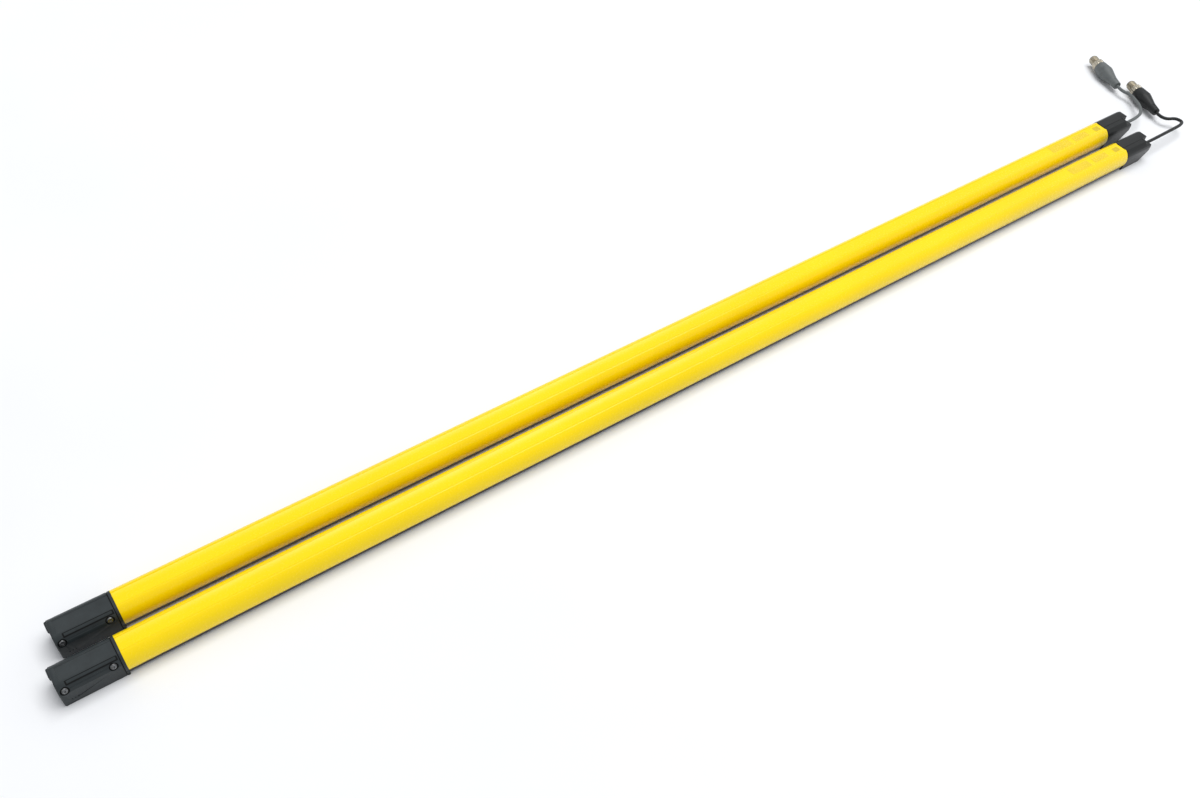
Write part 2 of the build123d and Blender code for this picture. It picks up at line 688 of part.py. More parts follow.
def corner_radii(points):
    """Largest smooth radius at each inner point of a route."""
    radii = []
    for before, here, after in zip(points, points[1:], points[2:]):
        run_in = Vector(*here) - Vector(*before)
        run_out = Vector(*after) - Vector(*here)
        half_turn = math.radians(run_in.get_angle(run_out)) / 2
        radii.append(0.45 * min(run_in.length, run_out.length) / math.tan(half_turn))
    return radii


def make_cable(name, points):
    radii = corner_radii(points)
    path = FilletPolyline(*points, radius=radii)
    start = Plane(origin=points[0], z_dir=path.wires()[0] % 0)
    tube = sweep(start * Circle(CABLE_RADIUS), path)
    length = path.wires()[0].length
    expected = math.pi * CABLE_RADIUS**2 * length
    print(name, "cable length", round(length, 2), "volume ratio", round(tube.volume / expected, 5))
    print(name, "cable radii", [round(radius, 1) for radius in radii])
    return tube


def plug_location(points):
    """Place of the plug, whose axis carries on from the cable's last run."""
    last = Vector(*points[-1])
    heading = (last - Vector(*points[-2])).normalized()
    return Plane(origin=last, x_dir=heading, z_dir=(0, 0, 1)).location


def bar_pieces():
    """Pieces of one bar, with the near end of its cap at x = 0."""
    return {
        "housing": make_housing(),
        "front_screen": make_screen(),
        "screen_gaskets": make_gaskets(),
        "optics_rail": make_optics_rail(),
        "lens_strip": make_lens_strip(),
        "beam_board": make_beam_board(),
        "beam_elements": make_beam_elements(),
        "plain_cap": make_near_cap(),
        "plain_cap_seal": make_near_seal(),
        "plain_cap_core": make_near_core(),
        "plain_cap_screws": make_near_screws(),
        "strip_cover": make_strip_cover(),
        "cable_cap": make_far_cap(),
        "cable_cap_seal": make_far_seal(),
        "interface_board": make_io_board(),
        "status_window": status_shape(0),
        "cable_grommet": make_grommet(),
    }


def plug_pieces():
    """Pieces of one plug, with its axis along X and the cable's end at x = 0."""
    return {
        "plug_grip": make_plug_grip(),
        "plug_insert": make_plug_insert(),
        "plug_pins": make_plug_pins(),
        "plug_nut": make_plug_nut(),
    }


def main():
    os.makedirs("parts", exist_ok=True)
    near_end = END_PAD_RISE - (END_PAD_RISE + BAR_LENGTH + BAR_STAGGER) / 2
    starts = {
        "receiver": (near_end, -BAR_PITCH / 2),
        "sender": (near_end + BAR_STAGGER, BAR_PITCH / 2),
    }
    bar = bar_pieces()
    plug = plug_pieces()
    for name, (x_start, y_middle) in starts.items():
        nose = (
            x_start + BAR_LENGTH,
            y_middle + CABLE_EXIT_Y,
            CABLE_EXIT_Z,
        )
        run_end = (nose[0] + CABLE_EXIT_RUN, nose[1], nose[2])
        points = [nose, run_end] + ROUTES[name]
        for piece, solid in bar.items():
            export_step(Pos(x_start, y_middle, 0) * solid, f"parts/{name}_{piece}.step")
        for piece, solid in plug.items():
            export_step(plug_location(points) * solid, f"parts/{name}_{piece}.step")
        export_step(make_cable(name, points), f"parts/{name}_cable.step")


main()
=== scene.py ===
"""Dresses a safety light curtain: two yellow bars with dark caps, short cables and M12 plugs."""
import json
import math

import bmesh
import bpy
from mathutils import Matrix, Vector


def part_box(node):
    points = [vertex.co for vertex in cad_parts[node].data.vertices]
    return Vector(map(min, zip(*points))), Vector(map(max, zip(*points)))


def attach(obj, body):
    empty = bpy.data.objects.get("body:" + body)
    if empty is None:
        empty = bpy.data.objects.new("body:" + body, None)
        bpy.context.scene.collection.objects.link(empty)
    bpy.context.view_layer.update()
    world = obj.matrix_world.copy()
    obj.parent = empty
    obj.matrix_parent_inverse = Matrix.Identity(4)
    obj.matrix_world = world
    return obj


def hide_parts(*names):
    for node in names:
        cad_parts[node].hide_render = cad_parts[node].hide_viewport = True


bl_info = {
    "name": "Safety Light Curtain",
    "version": (1, 0, 0),
    "blender": (4, 5, 0),
    "location": "View3D > Sidebar > Curtain",
    "description": "Dresses the two bars of a safety light curtain, with their cables, plugs and finishes",
    "category": "Object",
}

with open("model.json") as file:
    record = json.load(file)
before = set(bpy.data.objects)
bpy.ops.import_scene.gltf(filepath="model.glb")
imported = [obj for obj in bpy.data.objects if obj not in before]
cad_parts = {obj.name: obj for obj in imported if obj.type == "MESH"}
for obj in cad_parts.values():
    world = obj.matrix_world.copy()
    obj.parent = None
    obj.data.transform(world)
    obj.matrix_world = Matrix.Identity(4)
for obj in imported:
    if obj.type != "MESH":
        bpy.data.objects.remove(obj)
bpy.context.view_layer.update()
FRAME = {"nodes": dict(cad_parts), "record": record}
BARS = ("receiver", "sender")
MM = 0.001

# Cable control points in metres, from the cap to the plug's grip, along the routes of the solids
CABLE_ROUTES = {
    "receiver": [
        (0.6646, -0.0254, 0.0180),
        (0.6806, -0.0254, 0.0180),
        (0.7050, -0.0248, 0.0175),
        (0.7275, -0.0239, 0.0165),
        (0.7424, -0.0230, 0.0156),
        (0.7532, -0.0192, 0.0142),
        (0.7538, -0.0086, 0.0126),
        (0.7444, -0.0030, 0.0110),
        (0.7430, 0.0069, 0.0099),
        (0.7458, 0.0146, 0.0099),
    ],
    "sender": [
        (0.6766, 0.0146, 0.0180),
        (0.6926, 0.0146, 0.0180),
        (0.7090, 0.0171, 0.0170),
        (0.7210, 0.0224, 0.0152),
        (0.7340, 0.0334, 0.0126),
        (0.7426, 0.0466, 0.0108),
        (0.7476, 0.0588, 0.0099),
        (0.7439, 0.0692, 0.0099),
        (0.7476, 0.0793, 0.0099),
    ],
}
CABLE_DIAMETER = 0.004
# Steps round half a cable, and along each piece of its curve
CABLE_ROUND_STEPS = 5
CABLE_LONG_STEPS = 24

# In the CAD meshes, points closer than this are one and faces flatter than this are one
MERGE_DISTANCE = 0.002 * MM
FLAT_ANGLE = math.radians(0.6)
# Edges sharper than this are rounded
BEVEL_ANGLE = math.radians(24)
# Edges sharper than these, in degrees, stay sharp in the shading
MOULDED_SHARP = 20.0
THREADED_SHARP = 30.0
TURNED_SHARP = 40.0

# Bare foil labels, which lie in the shallow panel of each housing's back
PANEL_DEPTH = 0.45 * MM
LABEL_THICK = 0.12 * MM
LABEL_SINK = 0.03 * MM
LABEL_CORNER = 0.8 * MM
CORNER_STEPS = 4
# Name, distances of both ends from the housing's far end, half width and finish
LABELS = (
    ("long", 97.0 * MM, 61.0 * MM, 5.2 * MM, "label"),
    ("short", 54.0 * MM, 28.0 * MM, 4.4 * MM, "label"),
    ("square", 15.0 * MM, 5.0 * MM, 3.6 * MM, "stamp"),
)

# Corner radius of the front screens' solids
SCREEN_CORNER = 1.45 * MM

# Round body of the plain caps: radius, height of its axis over the housing's lower edge, and length
BODY_RADIUS = 15.0 * MM
BODY_DROP = 7.65 * MM
PLAIN_CAP_LENGTH = 48.0 * MM

# Strip covers: ends along the cap, and angles from the top in degrees
STRIP_ENDS = (8.0 * MM, 46.8 * MM)
STRIP_ANGLES = (32.5, 45.5)
STRIP_STEPS = 6
# Dark rubber lip round each strip cover, painted shade that stands for the shadow in the cover's gap: its
# width, depth below the round body and height proud of it
STRIP_SHADE_LIP_WIDTH = 1.1 * MM
STRIP_SHADE_LIP_DEPTH = 0.4 * MM
STRIP_SHADE_LIP_PROUD = 0.05 * MM

# Cap screws: angle from the top, distances from the cap's end, and depth of the seat
SCREW_ANGLE = math.radians(63)
SCREW_PLACES = (5.0 * MM, 42.4 * MM)
SCREW_SEAT = 1.6 * MM
SCREW_STEPS = 36
# Radius and length of the head, the shank and the point
SCREW_HEAD = (2.6 * MM, 1.3 * MM)
SCREW_SHANK = (1.3 * MM, 8.0 * MM)
SCREW_POINT = (0.3 * MM, 0.6 * MM)
# Outline of the head in shares of its height and radius
HEAD_OUTLINE = ((0.0, 1.0), (0.55, 1.0), (0.85, 0.9), (1.0, 0.72))
# Outline of the socket in shares of the head's height and the socket's radius, with its floor's centre
SOCKET_OUTLINE = ((1.0, 1.12), (0.92, 1.0), (0.35, 1.0))
SOCKET_FLOOR = 0.30
SOCKET_CENTRE = 0.1 * MM
# Places in the screw's outline that lie on the socket's six walls
SOCKET_WALLS = (8, 9)
# Inner radius, outer radius and height of the dark ring round a screw, painted shade for the shadow in its
# recess, and its rounding in shares of height and radius
SCREW_SHADE_RING = (2.65 * MM, 3.55 * MM, 0.5 * MM)
SHADE_RING_ROUNDING = (0.8, 0.9)

# Coupling nuts, along the plug's axis from the end of the cable
NUT_START = 43.8 * MM
COLLAR_END = 51.4 * MM
THREAD_END = 62.0 * MM
COLLAR_RADIUS = 7.8 * MM
THREAD_RADIUS = 6.0 * MM
NUT_BORE = 5.08 * MM
NUT_STEPS = 120
# Distances from the collar's ends and below its radius
COLLAR_ROUNDING = ((0.0, 0.9 * MM), (0.25 * MM, 0.5 * MM), (0.8 * MM, 0.0))
# Places in the nut's outline that carry the flutes; a power under 1 makes the flutes' edges crisper
FLUTED_PLACES = (3, 4)
FLUTE_DEPTH = 0.45 * MM
FLUTE_POWER = 0.6
# Length and height of the step below the collar and of the slope at the tip
ROOT_STEP = (0.3 * MM, 0.4 * MM)
TIP_SLOPE = (0.35 * MM, 0.25 * MM)
# Bare root before and after the wound thread
THREAD_GAPS = (0.4 * MM, 0.5 * MM)
THREAD_STEPS = 420
# Share of the pitch that a flank takes, and the angle over which each end of the thread fades
THREAD_FLANK = 0.46
THREAD_FADE = math.pi / 2
# Points of the wound thread that are closer than this are one
THREAD_MERGE = 0.001 * MM

# Rounding of the plug grips' edges, and of the inserts' and pins' edges
GRIP_EDGE = 0.2 * MM
CONTACT_EDGE = 0.08 * MM

# Camera of the photograph: place, azimuth, elevation and roll in degrees, and focal length in its pixels
CAMERA_PLACE = (-0.61672, -0.55174, 0.85927)
CAMERA_TURN = (49.72, -49.717, 6.629)
FOCAL_PIXELS = 1154.5
PHOTO_WIDTH = 1200
# Width of the camera's sensor in millimetres, and the nearest distance that it sees in metres
SENSOR_WIDTH = 36.0
NEAREST_SEEN = 0.01

# Half the side of the table's sheet in metres, and its faces along a side
TABLE_REACH = 6.0
TABLE_SEGMENTS = 4
# The one lamp, in metres and watts
LAMP_PLACE = (1.7, 0.1, 6.4)
LAMP_AIM = (0.1, 0.0, 0.0)
LAMP_SIZE = (5.6, 4.4)
LAMP_POWER = 352.0
# Strength of the room's light, and of the room itself where it is seen
ROOM_LIGHT = 0.52
ROOM_SEEN = 0.85


def linear(code):
    """Linear RGBA of a colour written as sRGB hex."""
    parts = [int(code[place : place + 2], 16) / 255 for place in (1, 3, 5)]
    return [part / 12.92 if part <= 0.04045 else ((part + 0.055) / 1.055) ** 2.4 for part in parts] + [1.0]


def colour_property(name, code, description):
    """Colour of a finish, with a default written as sRGB hex."""
    return bpy.props.FloatVectorProperty(
        name=name, description=description, default=linear(code), size=4, subtype="COLOR", min=0.0, max=1.0
    )


def length_property(name, millimetres, description):
    """Length with a default in millimetres."""
    return bpy.props.FloatProperty(
        name=name, description=description, default=millimetres * MM, min=0.0, unit="LENGTH", precision=5
    )


class CurtainColours(bpy.types.PropertyGroup):
    """Colours of the finishes."""

    housing: colour_property("Housing", "#FFDD04", "Powder coat of the aluminium profiles")
    plain_cap: colour_property("Plain cap", "#272D2F", "Polyamide of the long caps at the plain ends")
    cable_cap: colour_property("Cable cap", "#171919", "Polyamide of the caps at the cable ends")
    screen: colour_property("Screen", "#140C0D", "Smoked acrylic of the front screens")
    grey_cable: colour_property("Grey cable", "#626666", "Jacket and plug grip of the sender")
    black_cable: colour_property("Black cable", "#1C1E1E", "Jacket and plug grip of the receiver")
    nickel: colour_property("Nickel", "#B9B1A0", "Plating of the plug nuts")


class CurtainSizes(bpy.types.PropertyGroup):
    """Sizes of the fine detail that the solids leave out."""

    profile_edge: length_property("Profile edge", 0.35, "Rounding of the coated profile's long edges")
    cap_edge: length_property("Cap edge", 0.3, "Rounding of the moulded caps' edges")
    screen_edge: length_property("Screen edge", 4.5, "Rounding of the front screens' long edges")
    small_edge: length_property("Small edge", 0.15, "Rounding of small moulded edges")
    thread_pitch: length_property("Thread pitch", 1.0, "Pitch of the plug nuts' M12 thread")
    thread_depth: length_property("Thread depth", 0.6, "Depth of the plug nuts' thread")
    flutes: bpy.props.IntProperty(
        name="Flutes", description="Flutes round each nut's collar", default=12, min=3
    )
    socket_across: length_property("Socket width", 2.0, "Width of the hexagon sockets in the cap screws")


def new_mesh_object(name, mesh):
    """Object at the origin that shows a mesh, in the scene's collection."""
    piece = bpy.data.objects.new(name, mesh)
    bpy.context.scene.collection.objects.link(piece)
    return piece


def as_object(name, work):
    """Object made from a bmesh as it is."""
    mesh = bpy.data.meshes.new(name)
    work.to_mesh(mesh)
    work.free()
    return new_mesh_object(name, mesh)


def from_bmesh(name, work):
    """Object made from a bmesh, whose faces point outwards."""
    bmesh.ops.recalc_face_normals(work, faces=work.faces)
    return as_object(name, work)


def made_plain(piece):
    """Replaces an object's modifiers by the plain mesh that they give."""
    graph = bpy.context.evaluated_depsgraph_get()
    mesh = bpy.data.meshes.new_from_object(piece.evaluated_get(graph))
    piece.modifiers.clear()
    piece.data = mesh
    return piece


def shade(piece, angle=MOULDED_SHARP):
    """Smooth shading that keeps edges over an angle sharp."""
    piece.data.shade_smooth()
    piece.data.set_sharp_from_angle(angle=math.radians(angle))


def coat(piece, material):
    """Gives a piece one material all over."""
    piece.data.materials.clear()
    piece.data.materials.append(material)


def hand_over(piece, node, material):
    """Lets a piece stand for a CAD node, with its finish and its body."""
    coat(piece, material)
    for body, members in FRAME["record"]["behaviour"]["bodies"].items():
        if node in members:
            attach(piece, body)
    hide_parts(node)
    return piece


def cleaned(node):
    """Bmesh of a CAD node, with doubled points merged and flat faces joined."""
    work = bmesh.new()
    work.from_mesh(FRAME["nodes"][node].data)
    bmesh.ops.remove_doubles(work, verts=work.verts, dist=MERGE_DISTANCE)
    bmesh.ops.dissolve_limit(work, angle_limit=FLAT_ANGLE, verts=work.verts, edges=work.edges)
    return work


def rounded(node, width, material, segments=2):
    """Copy of a CAD node whose sharp edges are rounded, in place of that node."""
    piece = as_object(node + "_rounded", cleaned(node))
    bevel = piece.modifiers.new("Rounded edges", "BEVEL")
    bevel.width = width
    bevel.segments = segments
    bevel.limit_method = "ANGLE"
    bevel.angle_limit = BEVEL_ANGLE
    bevel.use_clamp_overlap = False
    made_plain(piece)
    shade(piece)
    return hand_over(piece, node, material)


def add(tree, kind, inputs=None, **settings):
    """Node of a kind with its settings, whose inputs take plain values or other nodes' outputs."""
    node = tree.nodes.new(kind)
    for name, value in settings.items():
        setattr(node, name, value)
    for key, value in (inputs or {}).items():
        if isinstance(value, bpy.types.NodeSocket):
            tree.links.new(value, node.inputs[key])
        else:
            node.inputs[key].default_value = value
    return node


def new_finish(name):
    """Empty material with its shader, and Object coordinates counted in millimetres."""
    material = bpy.data.materials.new(name)
    material.use_nodes = True
    tree = material.node_tree
    tree.nodes.clear()
    shader = add(tree, "ShaderNodeBsdfPrincipled")
    add(tree, "ShaderNodeOutputMaterial", {"Surface": shader.outputs["BSDF"]})
    place = add(tree, "ShaderNodeTexCoord").outputs["Object"]
    scaled = add(tree, "ShaderNodeMapping", {"Vector": place, "Scale": (1000, 1000, 1000)})
    return material, tree, shader, scaled.outputs["Vector"]


def noise(tree, vector, size, detail=2.0, stretch=(1.0, 1.0, 1.0)):
    """Noise whose blobs are about a size in millimetres, drawn out along the axes by a stretch."""
    scale = [1 / (size * part) for part in stretch]
    mapped = add(tree, "ShaderNodeMapping", {"Vector": vector, "Scale": scale}).outputs["Vector"]
    texture = add(tree, "ShaderNodeTexNoise", {"Vector": mapped, "Scale": 1.0, "Detail": detail})
    return texture.outputs["Fac"]


def remap(tree, value, low, high, start=0.3, end=0.7):
    """A value between start and end, spread from low to high."""
    node = add(
        tree,
        "ShaderNodeMapRange",
        {"Value": value, "From Min": start, "From Max": end, "To Min": low, "To Max": high},
    )
    return node.outputs["Result"]


def tinted(tree, colour, factor):
    """A colour made lighter or darker by a factor that varies over the surface."""
    node = add(tree, "ShaderNodeVectorMath", {0: colour[:3], 1: (1, 1, 1)}, operation="MULTIPLY")
    tree.links.new(factor, node.inputs[1])
    return node.outputs["Vector"]


def relief(tree, shader, height, depth):
    """Bump whose full height is a depth in millimetres."""
    bump = add(tree, "ShaderNodeBump", {"Height": height, "Distance": depth * MM, "Strength": 1.0})
    tree.links.new(bump.outputs["Normal"], shader.inputs["Normal"])


def powder_coat(colour):
    """Polyester powder coat on extruded aluminium: even, half glossy, with the lines of the die below it."""
    material, tree, shader, place = new_finish("Powder_coat_on_extruded_aluminium")
    cloud = noise(tree, place, 90.0, 3.0)
    tree.links.new(tinted(tree, colour, remap(tree, cloud, 0.965, 1.03)), shader.inputs["Base Color"])
    # Orange peel has waves of about 1 mm; they are drawn 2.4 mm wide so that they show
    peel = noise(tree, place, 2.4, 2.0)
    # The die draws lines along the profile about 0.8 mm apart
    lines = noise(tree, place, 0.8, 1.0, stretch=(300.0, 1.0, 1.0))
    mixed = add(tree, "ShaderNodeMath", {0: peel, 1: lines}, operation="ADD").outputs["Value"]
    relief(tree, shader, mixed, 0.007)
    tree.links.new(remap(tree, peel, 0.20, 0.30), shader.inputs["Roughness"])
    shader.inputs["IOR"].default_value = 1.5
    shader.inputs["Specular IOR Level"].default_value = 0.3
    return material


def moulded_polyamide(name, colour, gloss, bloom=0.16):
    """Glass-filled polyamide, injection moulded in a spark-eroded mould: matt grain with a greyish bloom."""
    material, tree, shader, place = new_finish(name)
    cloud = remap(tree, noise(tree, place, 9.0, 4.0), 1.0 - bloom, 1.0 + bloom)
    tree.links.new(tinted(tree, colour, cloud), shader.inputs["Base Color"])
    # Spark-eroded grain is about 0.3 mm wide; it is drawn 0.9 mm wide so that it shows
    fine = noise(tree, place, 0.9, 3.0)
    relief(tree, shader, fine, 0.03)
    tree.links.new(remap(tree, fine, gloss, gloss + 0.15), shader.inputs["Roughness"])
    shader.inputs["IOR"].default_value = 1.53
    shader.inputs["Specular IOR Level"].default_value = 0.25
    return material


def smoked_acrylic(colour):
    """Smoked acrylic, extruded and flame polished: nearly black and glossy, with faint waves along it."""
    material, tree, shader, place = new_finish("Smoked_acrylic_extruded")
    cloud = remap(tree, noise(tree, place, 40.0, 2.0), 0.85, 1.2)
    tree.links.new(tinted(tree, colour, cloud), shader.inputs["Base Color"])
    waves = noise(tree, place, 5.0, 1.0, stretch=(20.0, 1.0, 1.0))
    relief(tree, shader, waves, 0.01)
    smear = remap(tree, noise(tree, place, 14.0, 4.0), 0.05, 0.16)
    tree.links.new(smear, shader.inputs["Roughness"])
    shader.inputs["IOR"].default_value = 1.49
    return material


def seal_rubber():
    """Rubber, moulded and unpolished: dull near black with a dusty surface."""
    material, tree, shader, place = new_finish("EPDM_rubber_moulded")
    cloud = remap(tree, noise(tree, place, 4.0, 3.0), 0.7, 1.4)
    tree.links.new(tinted(tree, linear("#0F1010"), cloud), shader.inputs["Base Color"])
    relief(tree, shader, noise(tree, place, 0.6, 2.0), 0.02)
    tree.links.new(remap(tree, cloud, 0.70, 0.85, 0.7, 1.4), shader.inputs["Roughness"])
    shader.inputs["IOR"].default_value = 1.5
    shader.inputs["Specular IOR Level"].default_value = 0.15
    return material


def cable_jacket(name, colour):
    """Polyurethane, extruded over the wires and overmoulded at the plug: silky with small scuffs."""
    material, tree, shader, place = new_finish(name)
    cloud = remap(tree, noise(tree, place, 6.0, 4.0), 0.88, 1.12)
    tree.links.new(tinted(tree, colour, cloud), shader.inputs["Base Color"])
    fine = noise(tree, place, 0.7, 3.0)
    relief(tree, shader, fine, 0.02)
    tree.links.new(remap(tree, fine, 0.38, 0.55), shader.inputs["Roughness"])
    shader.inputs["IOR"].default_value = 1.5
    shader.inputs["Specular IOR Level"].default_value = 0.3
    return material


def nickel_plate(colour):
    """Brass, turned, rolled and nickel plated: warm bright grey with soft stains and turning marks."""
    material, tree, shader, place = new_finish("Nickel_plated_brass_turned")
    cloud = remap(tree, noise(tree, place, 3.0, 3.0), 0.82, 1.08)
    tree.links.new(tinted(tree, colour, cloud), shader.inputs["Base Color"])
    marks = noise(tree, place, 0.35, 2.0)
    relief(tree, shader, marks, 0.006)
    tree.links.new(remap(tree, marks, 0.20, 0.34), shader.inputs["Roughness"])
    shader.inputs["Metallic"].default_value = 1.0
    return material


def gold_plate():
    """Brass contact pins, turned and gold plated: bright yellow metal with a fine turned surface."""
    material, tree, shader, place = new_finish("Gold_plated_brass_turned")
    cloud = remap(tree, noise(tree, place, 1.5, 2.0), 0.9, 1.05)
    tree.links.new(tinted(tree, linear("#E2BE6A"), cloud), shader.inputs["Base Color"])
    tree.links.new(remap(tree, noise(tree, place, 0.3, 2.0), 0.16, 0.28), shader.inputs["Roughness"])
    shader.inputs["Metallic"].default_value = 1.0
    return material


def blackened_steel():
    """Steel screws, cold headed and blackened: dark metal with worn, brighter spots."""
    material, tree, shader, place = new_finish("Steel_cold_headed_blackened")
    wear = remap(tree, noise(tree, place, 1.2, 4.0), 0.7, 2.2, 0.45, 0.75)
    tree.links.new(tinted(tree, linear("#6C6D6E"), wear), shader.inputs["Base Color"])
    relief(tree, shader, noise(tree, place, 0.3, 2.0), 0.008)
    tree.links.new(remap(tree, wear, 0.42, 0.28, 0.7, 2.2), shader.inputs["Roughness"])
    shader.inputs["Metallic"].default_value = 1.0
    return material


def board_laminate():
    """Glass laminate with copper below a green solder mask: lines of track show as lighter bands."""
    material, tree, shader, place = new_finish("Glass_laminate_solder_masked")
    bands = add(tree, "ShaderNodeTexBrick", {"Vector": place, "Scale": 1.0, "Mortar Size": 0.35})
    bands.inputs["Color1"].default_value = linear("#1F6B3C")
    bands.inputs["Color2"].default_value = linear("#1A5E35")
    bands.inputs["Mortar"].default_value = linear("#3B8A55")
    bands.inputs["Brick Width"].default_value = 6.0
    bands.inputs["Row Height"].default_value = 1.4
    tree.links.new(bands.outputs["Color"], shader.inputs["Base Color"])
    tree.links.new(remap(tree, noise(tree, place, 2.0, 2.0), 0.25, 0.4), shader.inputs["Roughness"])
    shader.inputs["IOR"].default_value = 1.5
    return material


def clear_polycarbonate():
    """Polycarbonate, moulded and polished: pale and clear, with a faint haze."""
    material, tree, shader, place = new_finish("Clear_polycarbonate_moulded")
    cloud = remap(tree, noise(tree, place, 5.0, 2.0), 0.95, 1.0)
    tree.links.new(tinted(tree, linear("#DDE3E4"), cloud), shader.inputs["Base Color"])
    tree.links.new(remap(tree, noise(tree, place, 1.0, 2.0), 0.08, 0.18), shader.inputs["Roughness"])
    shader.inputs["IOR"].default_value = 1.58
    shader.inputs["Transmission Weight"].default_value = 0.8
    return material


def element_epoxy():
    """Epoxy of the light diodes, cast: dark violet and glossy."""
    material, tree, shader, place = new_finish("Epoxy_cast")
    cloud = remap(tree, noise(tree, place, 1.5, 2.0), 0.8, 1.2)
    tree.links.new(tinted(tree, linear("#2B1F2B"), cloud), shader.inputs["Base Color"])
    tree.links.new(remap(tree, noise(tree, place, 0.8, 2.0), 0.12, 0.25), shader.inputs["Roughness"])
    shader.inputs["IOR"].default_value = 1.54
    return material


def label_foil(name, colour, depth):
    """Bare polyester foil, printed evenly in a deeper tone of the housing's colour and glossier than it."""
    material, tree, shader, place = new_finish(name)
    cloud = remap(tree, noise(tree, place, 12.0, 2.0), depth - 0.03, depth + 0.03)
    tree.links.new(tinted(tree, colour, cloud), shader.inputs["Base Color"])
    relief(tree, shader, noise(tree, place, 3.0, 1.0), 0.008)
    tree.links.new(remap(tree, noise(tree, place, 2.0, 2.0), 0.22, 0.30), shader.inputs["Roughness"])
    shader.inputs["IOR"].default_value = 1.55
    return material


class Finishes:
    """Materials of the whole part, made once and shared by the operators."""

    made = {}

    @classmethod
    def get(cls, name):
        """A finish by its name here, made with all the others on first use."""
        if not cls.made:
            colours = bpy.context.scene.curtain_colours
            cls.made = {
                "housing": powder_coat(colours.housing),
                "plain_cap": moulded_polyamide("Polyamide_moulded_slate", colours.plain_cap, 0.40),
                "cable_cap": moulded_polyamide(
                    "Polyamide_moulded_black", colours.cable_cap, 0.28, bloom=0.12
                ),
                "screen": smoked_acrylic(colours.screen),
                # Real seals, gaskets and grommets; also the dark strip lips and screw rings, which are
                # painted shade
                "rubber": seal_rubber(),
                "sender": cable_jacket("Polyurethane_jacket_grey", colours.grey_cable),
                "receiver": cable_jacket("Polyurethane_jacket_black", colours.black_cable),
                "nickel": nickel_plate(colours.nickel),
                "gold": gold_plate(),
                "steel": blackened_steel(),
                "board": board_laminate(),
                "clear": clear_polycarbonate(),
                "epoxy": element_epoxy(),
                "label": label_foil("Polyester_foil_label", colours.housing, 0.84),
                "stamp": label_foil("Polyester_foil_stamp", colours.housing, 0.66),
            }
        return cls.made[name]


def lathe(name, outline, steps, flute=None):
    """Closed ring about X from points (x, radius), with an optional flute depth by angle and point."""
    work = bmesh.new()
    rings = []
    for index, (along, radius) in enumerate(outline):
        ring = []
        for step in range(steps):
            angle = 2 * math.pi * step / steps
            reach = radius - (flute(index, angle) if flute else 0.0)
            ring.append(work.verts.new((along, reach * math.cos(angle), reach * math.sin(angle))))
        rings.append(ring)
    for index, ring in enumerate(rings):
        following = rings[(index + 1) % len(rings)]
        for step in range(steps):
            beyond = (step + 1) % steps
            work.faces.new((ring[step], ring[beyond], following[beyond], following[step]))
    return from_bmesh(name, work)


def node_tree(name, inputs):
    """Empty Geometry Nodes tree with named inputs; gives the tree, its inputs and its output socket."""
    tree = bpy.data.node_groups.new(name, "GeometryNodeTree")
    tree.interface.new_socket("Geometry", in_out="INPUT", socket_type="NodeSocketGeometry")
    tree.interface.new_socket("Geometry", in_out="OUTPUT", socket_type="NodeSocketGeometry")
    for label, kind in inputs:
        tree.interface.new_socket(label, in_out="INPUT", socket_type=kind)
    return tree, add(tree, "NodeGroupInput").outputs, add(tree, "NodeGroupOutput").inputs["Geometry"]


def run_tree(piece, tree, values):
    """Runs a tree on an object with values for its named inputs, and keeps the plain mesh."""
    modifier = piece.modifiers.new(tree.name, "NODES")
    modifier.node_group = tree
    for item in tree.interface.items_tree:
        if item.item_type == "SOCKET" and item.in_out == "INPUT" and item.name in values:
            modifier[item.identifier] = values[item.name]
    return made_plain(piece)


def copies_on_points():
    """Tree that sets a copy of an object on each point, with its Z along the point's direction."""
    inputs = [("Copied", "NodeSocketObject"), ("Finish", "NodeSocketMaterial")]
    tree, given, result = node_tree("Copies_on_points", inputs)
    shape = add(tree, "GeometryNodeObjectInfo", {"Object": given["Copied"]}).outputs["Geometry"]
    out = add(tree, "GeometryNodeInputNamedAttribute", {"Name": "out"}, data_type="FLOAT_VECTOR")
    turn = add(tree, "FunctionNodeAlignRotationToVector", {"Vector": out.outputs["Attribute"]}, axis="Z")
    points = add(tree, "GeometryNodeMeshToPoints", {"Mesh": given["Geometry"]}).outputs["Points"]
    copies = add(
        tree,
        "GeometryNodeInstanceOnPoints",
        {"Points": points, "Instance": shape, "Rotation": turn.outputs["Rotation"]},
    )
    real = add(tree, "GeometryNodeRealizeInstances", {"Geometry": copies.outputs["Instances"]})
    finished = add(
        tree, "GeometryNodeSetMaterial", {"Geometry": real.outputs["Geometry"], "Material": given["Finish"]}
    )
    tree.links.new(finished.outputs["Geometry"], result)
    return tree


def point_cloud(name, places, directions):
    """Object of loose points, each with the direction that a copy on it faces."""
    mesh = bpy.data.meshes.new(name)
    mesh.from_pydata([tuple(place) for place in places], [], [])
    layer = mesh.attributes.new("out", "FLOAT_VECTOR", "POINT")
    for item, direction in zip(layer.data, directions):
        item.vector = direction
    return new_mesh_object(name, mesh)


def set_copies(name, shape, places, directions, material):
    """One mesh with a copy of a shape on every place."""
    piece = run_tree(
        point_cloud(name, places, directions), copies_on_points(), {"Copied": shape, "Finish": material}
    )
    bpy.data.objects.remove(shape)
    return piece


